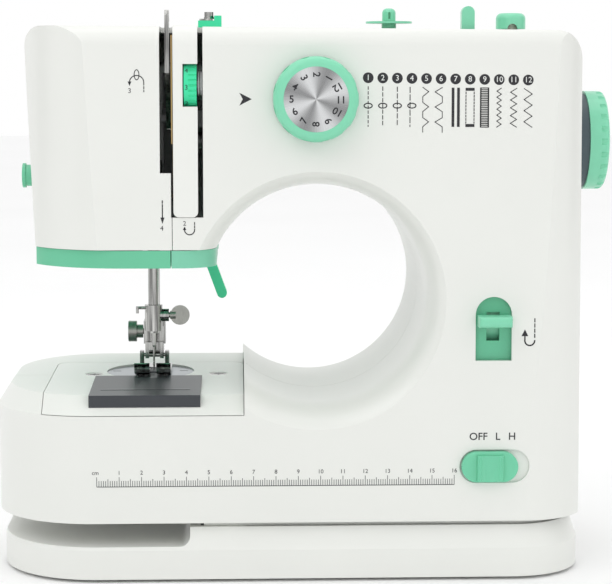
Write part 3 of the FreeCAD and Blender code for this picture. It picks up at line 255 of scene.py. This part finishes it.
def on_front(x, z, lift=0.05):
    return at(x, front_y(z) - lift, z)


def finish_mesh(name, bm, mat, body):
    """Turn a bmesh into a piece that rides on a body."""
    mesh = bpy.data.meshes.new(name)
    bm.normal_update()
    bm.to_mesh(mesh)
    bm.free()
    mesh.materials.append(mat)
    obj = bpy.data.objects.new(name, mesh)
    bpy.context.scene.collection.objects.link(obj)
    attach(obj, body)


def plate_polys(name, polys, place, mat, body, thick=0.07):
    """Thin printed plates: each polygon of (x, z) millimetres, raised off the surface by thick."""
    bm = bmesh.new()
    for poly in polys:
        top = [bm.verts.new(place(x, z, thick)) for x, z in poly]
        low = [bm.verts.new(place(x, z, 0.0)) for x, z in poly]
        bm.faces.new(top)
        bm.faces.new(list(reversed(low)))
        n = len(poly)
        for i in range(n):
            j = (i + 1) % n
            bm.faces.new((top[j], top[i], low[i], low[j]))
    bmesh.ops.recalc_face_normals(bm, faces=bm.faces)
    finish_mesh(name, bm, mat, body)


def bar(x0, x1, z0, z1):
    return [(x0, z0), (x1, z0), (x1, z1), (x0, z1)]


def disc(x, z, r, n=28):
    angles = [2 * math.pi * i / n for i in range(n)]
    return [(x + r * math.cos(a), z + r * math.sin(a)) for a in angles]


def stroke(points, width):
    """Quads along a polyline."""
    out = []
    for (x0, z0), (x1, z1) in zip(points, points[1:]):
        d = Vector((x1 - x0, z1 - z0))
        if d.length < 1e-6:
            continue
        n = Vector((-d.y, d.x)).normalized() * (width / 2)
        e = d.normalized() * (width / 3)
        out.append([(x0 - e.x + n.x, z0 - e.y + n.y), (x1 + e.x + n.x, z1 + e.y + n.y),
                    (x1 + e.x - n.x, z1 + e.y - n.y), (x0 - e.x - n.x, z0 - e.y - n.y)])
    return out


def arc(x, z, r, a0, a1, n):
    """Points along a circle from angle a0 to a1, in degrees."""
    angles = [math.radians(a0 + (a1 - a0) * i / n) for i in range(n + 1)]
    return [(x + r * math.cos(a), z + r * math.sin(a)) for a in angles]


def dashes(points, width, on=1.4, off=1.0):
    """Dashed stroke along a polyline."""
    out = []
    for (x0, z0), (x1, z1) in zip(points, points[1:]):
        d = Vector((x1 - x0, z1 - z0))
        s = 0.0
        while s < d.length:
            e = min(d.length, s + on)
            a = d.normalized() * s
            b = d.normalized() * e
            out += stroke([(x0 + a.x, z0 + a.y), (x0 + b.x, z0 + b.y)], width)
            s += on + off
    return out


def label(name, items, place, mat, body, thick=0.07, bold=0.0):
    """Raised letters: items are (text, x, z, height, turn in degrees), centred at x, z."""
    bm = bmesh.new()
    for text, x, z, height, turn in items:
        curve = bpy.data.curves.new(name + "_c", "FONT")
        curve.body = text
        curve.size = height * LETTER_SIZE
        curve.align_x = "CENTER"
        curve.align_y = "CENTER"
        curve.resolution_u = 4
        curve.offset = bold
        temp = bpy.data.objects.new(name + "_t", curve)
        bpy.context.scene.collection.objects.link(temp)
        bpy.context.view_layer.update()
        mesh = bpy.data.meshes.new_from_object(temp)
        part = bmesh.new()
        part.from_mesh(mesh)
        rot = Matrix.Rotation(math.radians(turn), 2)
        flat = [(rot @ Vector((v.co.x, v.co.y))) for v in part.verts]
        top = [bm.verts.new(place(x + p.x, z + p.y, thick)) for p in flat]
        for face in part.faces:
            bm.faces.new([top[v.index] for v in face.verts])
        part.free()
        bpy.data.objects.remove(temp)
        bpy.data.curves.remove(curve)
        bpy.data.meshes.remove(mesh)
    ret = bmesh.ops.extrude_face_region(bm, geom=list(bm.faces))
    moved = [e for e in ret["geom"] if isinstance(e, bmesh.types.BMVert)]
    bmesh.ops.translate(bm, verts=moved, vec=(0, thick / 1000.0, 0))
    bmesh.ops.recalc_face_normals(bm, faces=bm.faces)
    finish_mesh(name, bm, mat, body)


# ------------------------------------------------------------ printed graphics

RULER_X = -93.5           # zero of the ruler
RULER_PITCH = 9.975       # one centimetre step
RULER_Z = 43.8            # its base line
RULER_CM = 16
TICK_CM = 4.4             # tick heights at each centimetre, half and millimetre
TICK_HALF = 3.5
TICK_MM = 2.7
TICK_WIDE = 0.26
RULER_LINE = 0.32
RULER_TEXT = 1.9
RULER_TEXT_Z = RULER_Z + 6.3


def build_ruler():
    end = RULER_X + RULER_CM * RULER_PITCH
    polys = [bar(RULER_X, end, RULER_Z - RULER_LINE / 2, RULER_Z + RULER_LINE / 2)]
    for i in range(10 * RULER_CM + 1):
        x = RULER_X + i * RULER_PITCH / 10
        tall = TICK_CM if i % 10 == 0 else (TICK_HALF if i % 5 == 0 else TICK_MM)
        polys.append(bar(x - TICK_WIDE / 2, x + TICK_WIDE / 2, RULER_Z, RULER_Z + tall))
    plate_polys("ruler_ticks", polys, on_front, INK_PALE, "casing")
    items = []
    for n in range(1, RULER_CM + 1):
        items.append((str(n), RULER_X + n * RULER_PITCH, RULER_TEXT_Z, RULER_TEXT, 0))
    items.append(("cm", RULER_X - 0.6, RULER_TEXT_Z, RULER_TEXT, 0))
    label("ruler_numbers", items, on_front, INK, "casing")


CHART_X = 27.1            # first column of the stitch chart
CHART_PITCH = 6.41
CHART_TOP = 221.0
CHART_LOW = 203.6
CHART_COLUMNS = 12
CHART_DISC_Z = 224.9      # centre of the first numbered disc
CHART_DISC_R = 2.35
OVAL_Z = 212.7            # the ovals on the straight stitches


def wave(x, z_top, z_low, half, count, width):
    """Zigzag down a column."""
    pts = []
    step = (z_top - z_low) / count
    for i in range(count + 1):
        pts.append((x + (half if i % 2 else -half), z_top - i * step))
    return stroke(pts, width)


def straight_stitch(i, x, t, b):
    """Columns 1 to 4: a dashed line with an oval on it."""
    dx = (0.0, 0.0, 0.0, -0.8)[i]
    marks = dashes([(x + dx, t), (x + dx, b)], 0.40, 1.2 + 0.4 * i, 0.9)
    ring = arc(0, 0, 1.0, 0, 360, 20)
    return marks + stroke([(x + px * 1.8, OVAL_Z + pz * 1.05) for px, pz in ring], 0.46)


def blind_hem(i, x, t, b):
    """Columns 5 and 6: a peak and a dashed run by turns."""
    side, peak = ((-1.6, 1.0), (0.6, -2.6))[i - 4]
    marks = []
    z = t
    while z > b + 4.0:
        marks += stroke([(x + side, z), (x + peak, z - 1.9), (x + side, z - 4.0)], 0.36)
        marks += dashes([(x + side, z - 4.3), (x + side, z - 6.4)], 0.36, 0.5, 0.35)
        z -= 6.6
    return marks


def buttonhole_ends(x, t, b):
    """Column 8: two end bars joined by dashed sides."""
    marks = [bar(x - 2.0, x + 2.0, t - 1.3, t), bar(x - 2.0, x + 2.0, b, b + 1.3)]
    for side in (-1.8, 1.8):
        marks += dashes([(x + side, t - 1.8), (x + side, b + 1.6)], 0.42, 0.9, 0.55)
    return marks


def ladder(x, t, b):
    """Column 9: close rungs between two sides."""
    rungs = 22
    marks = []
    for k in range(rungs + 1):
        z = b + (t - b) * k / rungs
        marks.append(bar(x - 2.0, x + 2.0, z - 0.22, z + 0.22))
    marks.append(bar(x - 2.0, x - 1.4, b, t))
    marks.append(bar(x + 1.4, x + 2.0, b, t))
    return marks


def column_marks(i, x, t, b):
    """Stitch drawn in column i, which counts from 0, between heights t and b."""
    if i < 4:
        return straight_stitch(i, x, t, b)
    if i < 6:
        return blind_hem(i, x, t, b)
    if i == 6:
        return [bar(x - 1.7, x - 0.5, b, t), bar(x + 0.7, x + 1.9, b, t)]
    if i == 7:
        return buttonhole_ends(x, t, b)
    if i == 8:
        return ladder(x, t, b)
    half = (-1.0, -1.4, 1.8)[i - 9]
    return wave(x, t, b, half, (13, 10, 7)[i - 9], 0.36)


def build_chart():
    """Stitch chart. Its columns sink a little to the right."""
    discs = []
    items = []
    marks = []
    for i in range(CHART_COLUMNS):
        x = CHART_X + i * CHART_PITCH
        zc = CHART_DISC_Z - 1.0 * i / 11
        discs.append(disc(x, zc, CHART_DISC_R))
        items.append((str(i + 1), x, zc, 2.5, 0))
        marks += column_marks(i, x, CHART_TOP - 0.8 * i / 11, CHART_LOW - 0.4 * i / 11)
    plate_polys("chart_discs", discs, on_front, INK, "casing")
    plate_polys("chart_stitches", marks, on_front, INK, "casing")
    label("chart_numbers", items, lambda x, z, t: on_front(x, z, 0.12 + t), PAPER, "casing")


def build_thread_marks():
    """Threading order: eye and hook at 3, arrow to 4, loop at 2."""
    marks = []
    x0, z0 = -74.2, 222.6
    eye = arc(0, 0, 1.0, 0, 360, 20)
    marks += stroke([(x0 + ex * 1.05, z0 + 3.6 + ez * 2.2) for ex, ez in eye], 0.35)
    arch = [(x0 + 3.1 * ax, z0 + 0.4 + 2.9 * az) for ax, az in arc(0, 0, 1.0, 180, 0, 12)]
    marks += stroke([(x0 - 3.1, z0 + 0.4)] + arch, 0.42)
    marks += dashes([(x0 + 3.1, z0 + 0.2), (x0 + 3.1, z0 - 3.8)], 0.42, 1.1, 0.6)
    marks.append([(x0 - 3.9, z0 + 0.7), (x0 - 2.3, z0 + 0.7), (x0 - 3.1, z0 - 1.3)])
    x1 = -63.4
    marks += dashes([(x1, 171.2), (x1, 168.4)], 0.5, 1.1, 0.6)
    marks += stroke([(x1, 168.0), (x1, 163.2)], 0.5)
    marks.append([(x1 - 0.9, 163.8), (x1 + 0.9, 163.8), (x1, 161.0)])
    plate_polys("thread_marks_left", marks, on_head, INK, "casing")
    label("thread_numbers", [("3", x0 - 3.1, z0 - 3.4, 2.2, 0), ("4", x1 - 0.3, 159.0, 2.2, 0)],
          on_head, INK, "casing")
    x2, z2 = -51.5, 158.4
    curl = stroke(arc(x2, z2, 2.2, 0, -180, 14), 0.45)
    curl += dashes([(x2 + 2.2, z2 + 3.2), (x2 + 2.2, z2)], 0.45, 0.9, 0.5)
    curl.append([(x2 - 3.0, z2 - 0.1), (x2 - 1.4, z2 - 0.1), (x2 - 2.2, z2 + 1.4)])
    plate_polys("thread_mark_strip", curl, on_front, INK, "casing")
    label("thread_number_two", [("2", x2 - 2.2, z2 + 2.7, 2.1, 0)], on_front, INK, "casing")


TENSION_Y = -48.6         # axis of the tension wheel
TENSION_Z = 221.6
TENSION_R = 11.0


def build_tension_numbers():
    """Numbers round the smooth part of the tension wheel."""
    items = []
    for i in range(9):
        turn = math.radians(40 * i)

        def place(x, z, lift, turn=turn):
            a = turn + z / TENSION_R
            r = TENSION_R + lift
            return at(x, TENSION_Y - r * math.cos(a), TENSION_Z + r * math.sin(a))
        item = (str((i + 2) % 9 + 1), -52.5, -1.0, 2.2, 0)
        label("tension_number_%d" % (i + 1), [item], place, INK, "tension_wheel", 0.06)


def small_box(name, x0, x1, y0, y1, z0, z1, mat, body):
    """Box between two opposite corners, in CAD millimetres."""
    bm = bmesh.new()
    bmesh.ops.create_cube(bm, size=1.0)
    for v in bm.verts:
        x = x0 + (v.co.x + 0.5) * (x1 - x0)
        y = y0 + (v.co.y + 0.5) * (y1 - y0)
        z = z0 + (v.co.z + 0.5) * (z1 - z0)
        v.co = at(x, y, z)
    finish_mesh(name, bm, mat, body)


def on_head(x, z, lift=0.05):
    """The head face's front; it curves back at its needle end."""
    y = front_y(z) - lift
    if x < -80.0:
        y = max(y, -13.5 - math.sqrt(max(0.0, 48.0 ** 2 - (x + 80.0) ** 2)) - lift)
    return at(x, y, z)


def build_reverse_mark():
    x = 101.6
    marks = dashes([(x, 118.4), (x, 109.2)], 0.5, 1.5, 0.8)
    marks += stroke(arc(x - 2.2, 108.6, 2.2, 0, -180, 14), 0.6)
    marks += stroke([(x - 4.4, 108.6), (x - 4.4, 111.0)], 0.6)
    marks.append([(x - 5.9, 110.6), (x - 2.9, 110.6), (x - 4.4, 113.6)])
    plate_polys("reverse_mark", marks, on_front, INK, "casing")


def build_switch_labels():
    items = [("OFF", 76.8, 65.4, 3.4, 0), ("L", 85.5, 65.4, 3.4, 0), ("H", 91.9, 65.4, 3.4, 0)]
    label("speed_labels", items, on_front, INK, "casing", bold=0.04)


DIAL_X = 3.9
DIAL_Z = 215.6
DIAL_FACE_Y = -69.4
DIAL_NUMBER_R = 10.7
DIAL_ANGLES = {1: 60, 2: 90, 3: 120, 4: 150, 5: 180, 6: 210, 7: 240, 8: 270, 9: 300, 10: 330, 11: 0, 12: 30}


def build_dial_print():
    def place(x, z, lift):
        return at(x, DIAL_FACE_Y - lift, z)
    items = []
    for number, angle in DIAL_ANGLES.items():
        a = math.radians(angle)
        x = DIAL_X + DIAL_NUMBER_R * math.cos(a)
        z = DIAL_Z + DIAL_NUMBER_R * math.sin(a)
        items.append((str(number), x, z, 3.2, angle - 180))
    label("dial_numbers", items, place, INK, "stitch_dial", bold=0.09)
    notch = [(-29.4, 218.4), (-27.9, 215.6), (-24.0, 215.6)]
    notch_low = [(-29.4, 212.8), (-24.0, 215.6), (-27.9, 215.6)]
    plate_polys("dial_marker", [notch, notch_low], on_front, INK, "casing")


SCREW_X = (-98.5, -39.8)  # bed screws
SCREW_Y = 1.5
CROSS_LONG = 4.2
CROSS_WIDE = 0.6


def build_screw_crosses():
    for k, x in enumerate(SCREW_X):
        arms = (("a", CROSS_LONG / 2, CROSS_WIDE / 2, 84.82), ("b", CROSS_WIDE / 2, CROSS_LONG / 2, 84.81))
        for letter, dx, dy, top in arms:
            # the dark crosses are painted shade for the recesses in the screw heads
            small_box("screw_cross_%d_%s" % (k, letter), x - dx, x + dx, SCREW_Y - dy, SCREW_Y + dy,
                      84.70, top, CROSS_RECESS_SHADE, "casing")


def deck_rim():
    """Low wall on the base's deck, seen in the groove under the column."""
    left, right, half, radius, thick = -46.0, 120.4, 55.8, 27.0, 1.2
    low_z, high_z, corner_steps = 24.7, 27.6, 16
    path = [(left, -half), (right - radius, -half)]
    for i in range(1, corner_steps + 1):
        a = -math.pi / 2 + i * math.pi / (2 * corner_steps)
        path.append((right - radius + radius * math.cos(a), -half + radius + radius * math.sin(a)))
    path += [(x, -y) for x, y in reversed(path)]
    bm = bmesh.new()
    rows = []
    for i, (x, y) in enumerate(path):
        ax, ay = path[max(0, i - 1)]
        bx, by = path[min(len(path) - 1, i + 1)]
        n = Vector((-(by - ay), bx - ax)).normalized() * thick
        rows.append([bm.verts.new(at(px, py, z)) for px, py, z in (
            (x, y, low_z), (x, y, high_z), (x + n.x, y + n.y, high_z), (x + n.x, y + n.y, low_z))])
    for low, high in zip(rows, rows[1:]):
        for k in range(4):
            bm.faces.new((low[k], low[(k + 1) % 4], high[(k + 1) % 4], high[k]))
    bm.faces.new(rows[0])
    bm.faces.new(list(reversed(rows[-1])))
    bmesh.ops.recalc_face_normals(bm, faces=bm.faces)
    finish_mesh("base_deck_rim", bm, BASE, "casing")


build_ruler()
build_chart()
build_thread_marks()
build_tension_numbers()
build_screw_crosses()
small_box("slot_guide", -59.35, -58.85, -57.0, -50.3, 196.0, 243.5, BRASS, "casing")
build_reverse_mark()
build_switch_labels()
build_dial_print()
deck_rim()


# ------------------------------------------------------------ stage, light, camera

def area_light(name, place, target, size, power):
    data = bpy.data.lights.new(name, "AREA")
    data.shape = "RECTANGLE"
    data.size, data.size_y = size
    data.energy = power
    obj = bpy.data.objects.new(name, data)
    bpy.context.scene.collection.objects.link(obj)
    obj.location = place
    obj.rotation_euler = (Vector(target) - Vector(place)).to_track_quat("-Z", "Y").to_euler()


def floor_plane():
    bm = bmesh.new()
    bmesh.ops.create_grid(bm, x_segments=1, y_segments=1, size=6.0)
    mesh = bpy.data.meshes.new("floor")
    bm.to_mesh(mesh)
    bm.free()
    floor_mat, nodes, links, bsdf = new_material("pale floor")
    tone = noise(nodes, links, 2.0, 2.0)
    col = ramp(nodes, links, tone.outputs["Fac"], (0.93, 0.93, 0.93), (0.95, 0.95, 0.95))
    links.new(col.outputs["Color"], bsdf.inputs["Base Color"])
    bsdf.inputs["Roughness"].default_value = 0.8
    mesh.materials.append(floor_mat)
    obj = bpy.data.objects.new("floor", mesh)
    bpy.context.scene.collection.objects.link(obj)


def dark_card(name, place, width, height):
    """Black card beside the table, seen only in the reflections of the metal."""
    bm = bmesh.new()
    bmesh.ops.create_grid(bm, x_segments=1, y_segments=1, size=0.5)
    for v in bm.verts:
        v.co = Vector((v.co.x * width, v.co.y * height, 0))
    mesh = bpy.data.meshes.new(name)
    bm.to_mesh(mesh)
    bm.free()
    mesh.materials.append(BLACK)
    obj = bpy.data.objects.new(name, mesh)
    bpy.context.scene.collection.objects.link(obj)
    obj.location = place
    obj.rotation_euler = (Vector((0, 0, place[2])) - Vector(place)).to_track_quat("-Z", "Y").to_euler()
    obj.visible_camera = False


def studio_world():
    world = bpy.data.worlds.new("studio")
    bpy.context.scene.world = world
    world.use_nodes = True
    background = world.node_tree.nodes["Background"]
    background.inputs["Color"].default_value = (1.0, 1.0, 1.0, 1)
    background.inputs["Strength"].default_value = 1.0


def front_camera():
    data = bpy.data.cameras.new("camera")
    data.sensor_width = 36.0
    data.lens = 114.06
    camera = bpy.data.objects.new("camera", data)
    bpy.context.scene.collection.objects.link(camera)
    pitch = math.radians(6.5)
    yaw = math.radians(2.0)
    camera.location = (-0.030, -0.908, 0.2278)
    aim = Vector((math.sin(yaw) * math.cos(pitch), math.cos(yaw) * math.cos(pitch), -math.sin(pitch)))
    camera.rotation_euler = aim.to_track_quat("-Z", "Y").to_euler()
    bpy.context.scene.camera = camera


floor_plane()
dark_card("card left", (-1.7, -1.5, 0.7), 0.7, 1.4)
dark_card("card right", (1.5, -1.8, 0.7), 0.55, 1.4)
dark_card("card far left", (-2.2, 0.5, 0.7), 0.8, 1.4)
dark_card("card far right", (2.2, 0.3, 0.7), 0.8, 1.4)
bpy.context.scene.view_settings.view_transform = "Standard"
studio_world()
area_light("key", (-0.9, -1.1, 1.5), (0, 0, 0.12), (1.2, 1.2), 5.0)
area_light("fill", (1.2, -1.0, 0.8), (0, 0, 0.12), (1.0, 1.0), 1.5)
area_light("top", (0.0, 0.1, 1.7), (0, 0, 0.1), (1.4, 1.0), 4.0)
front_camera()
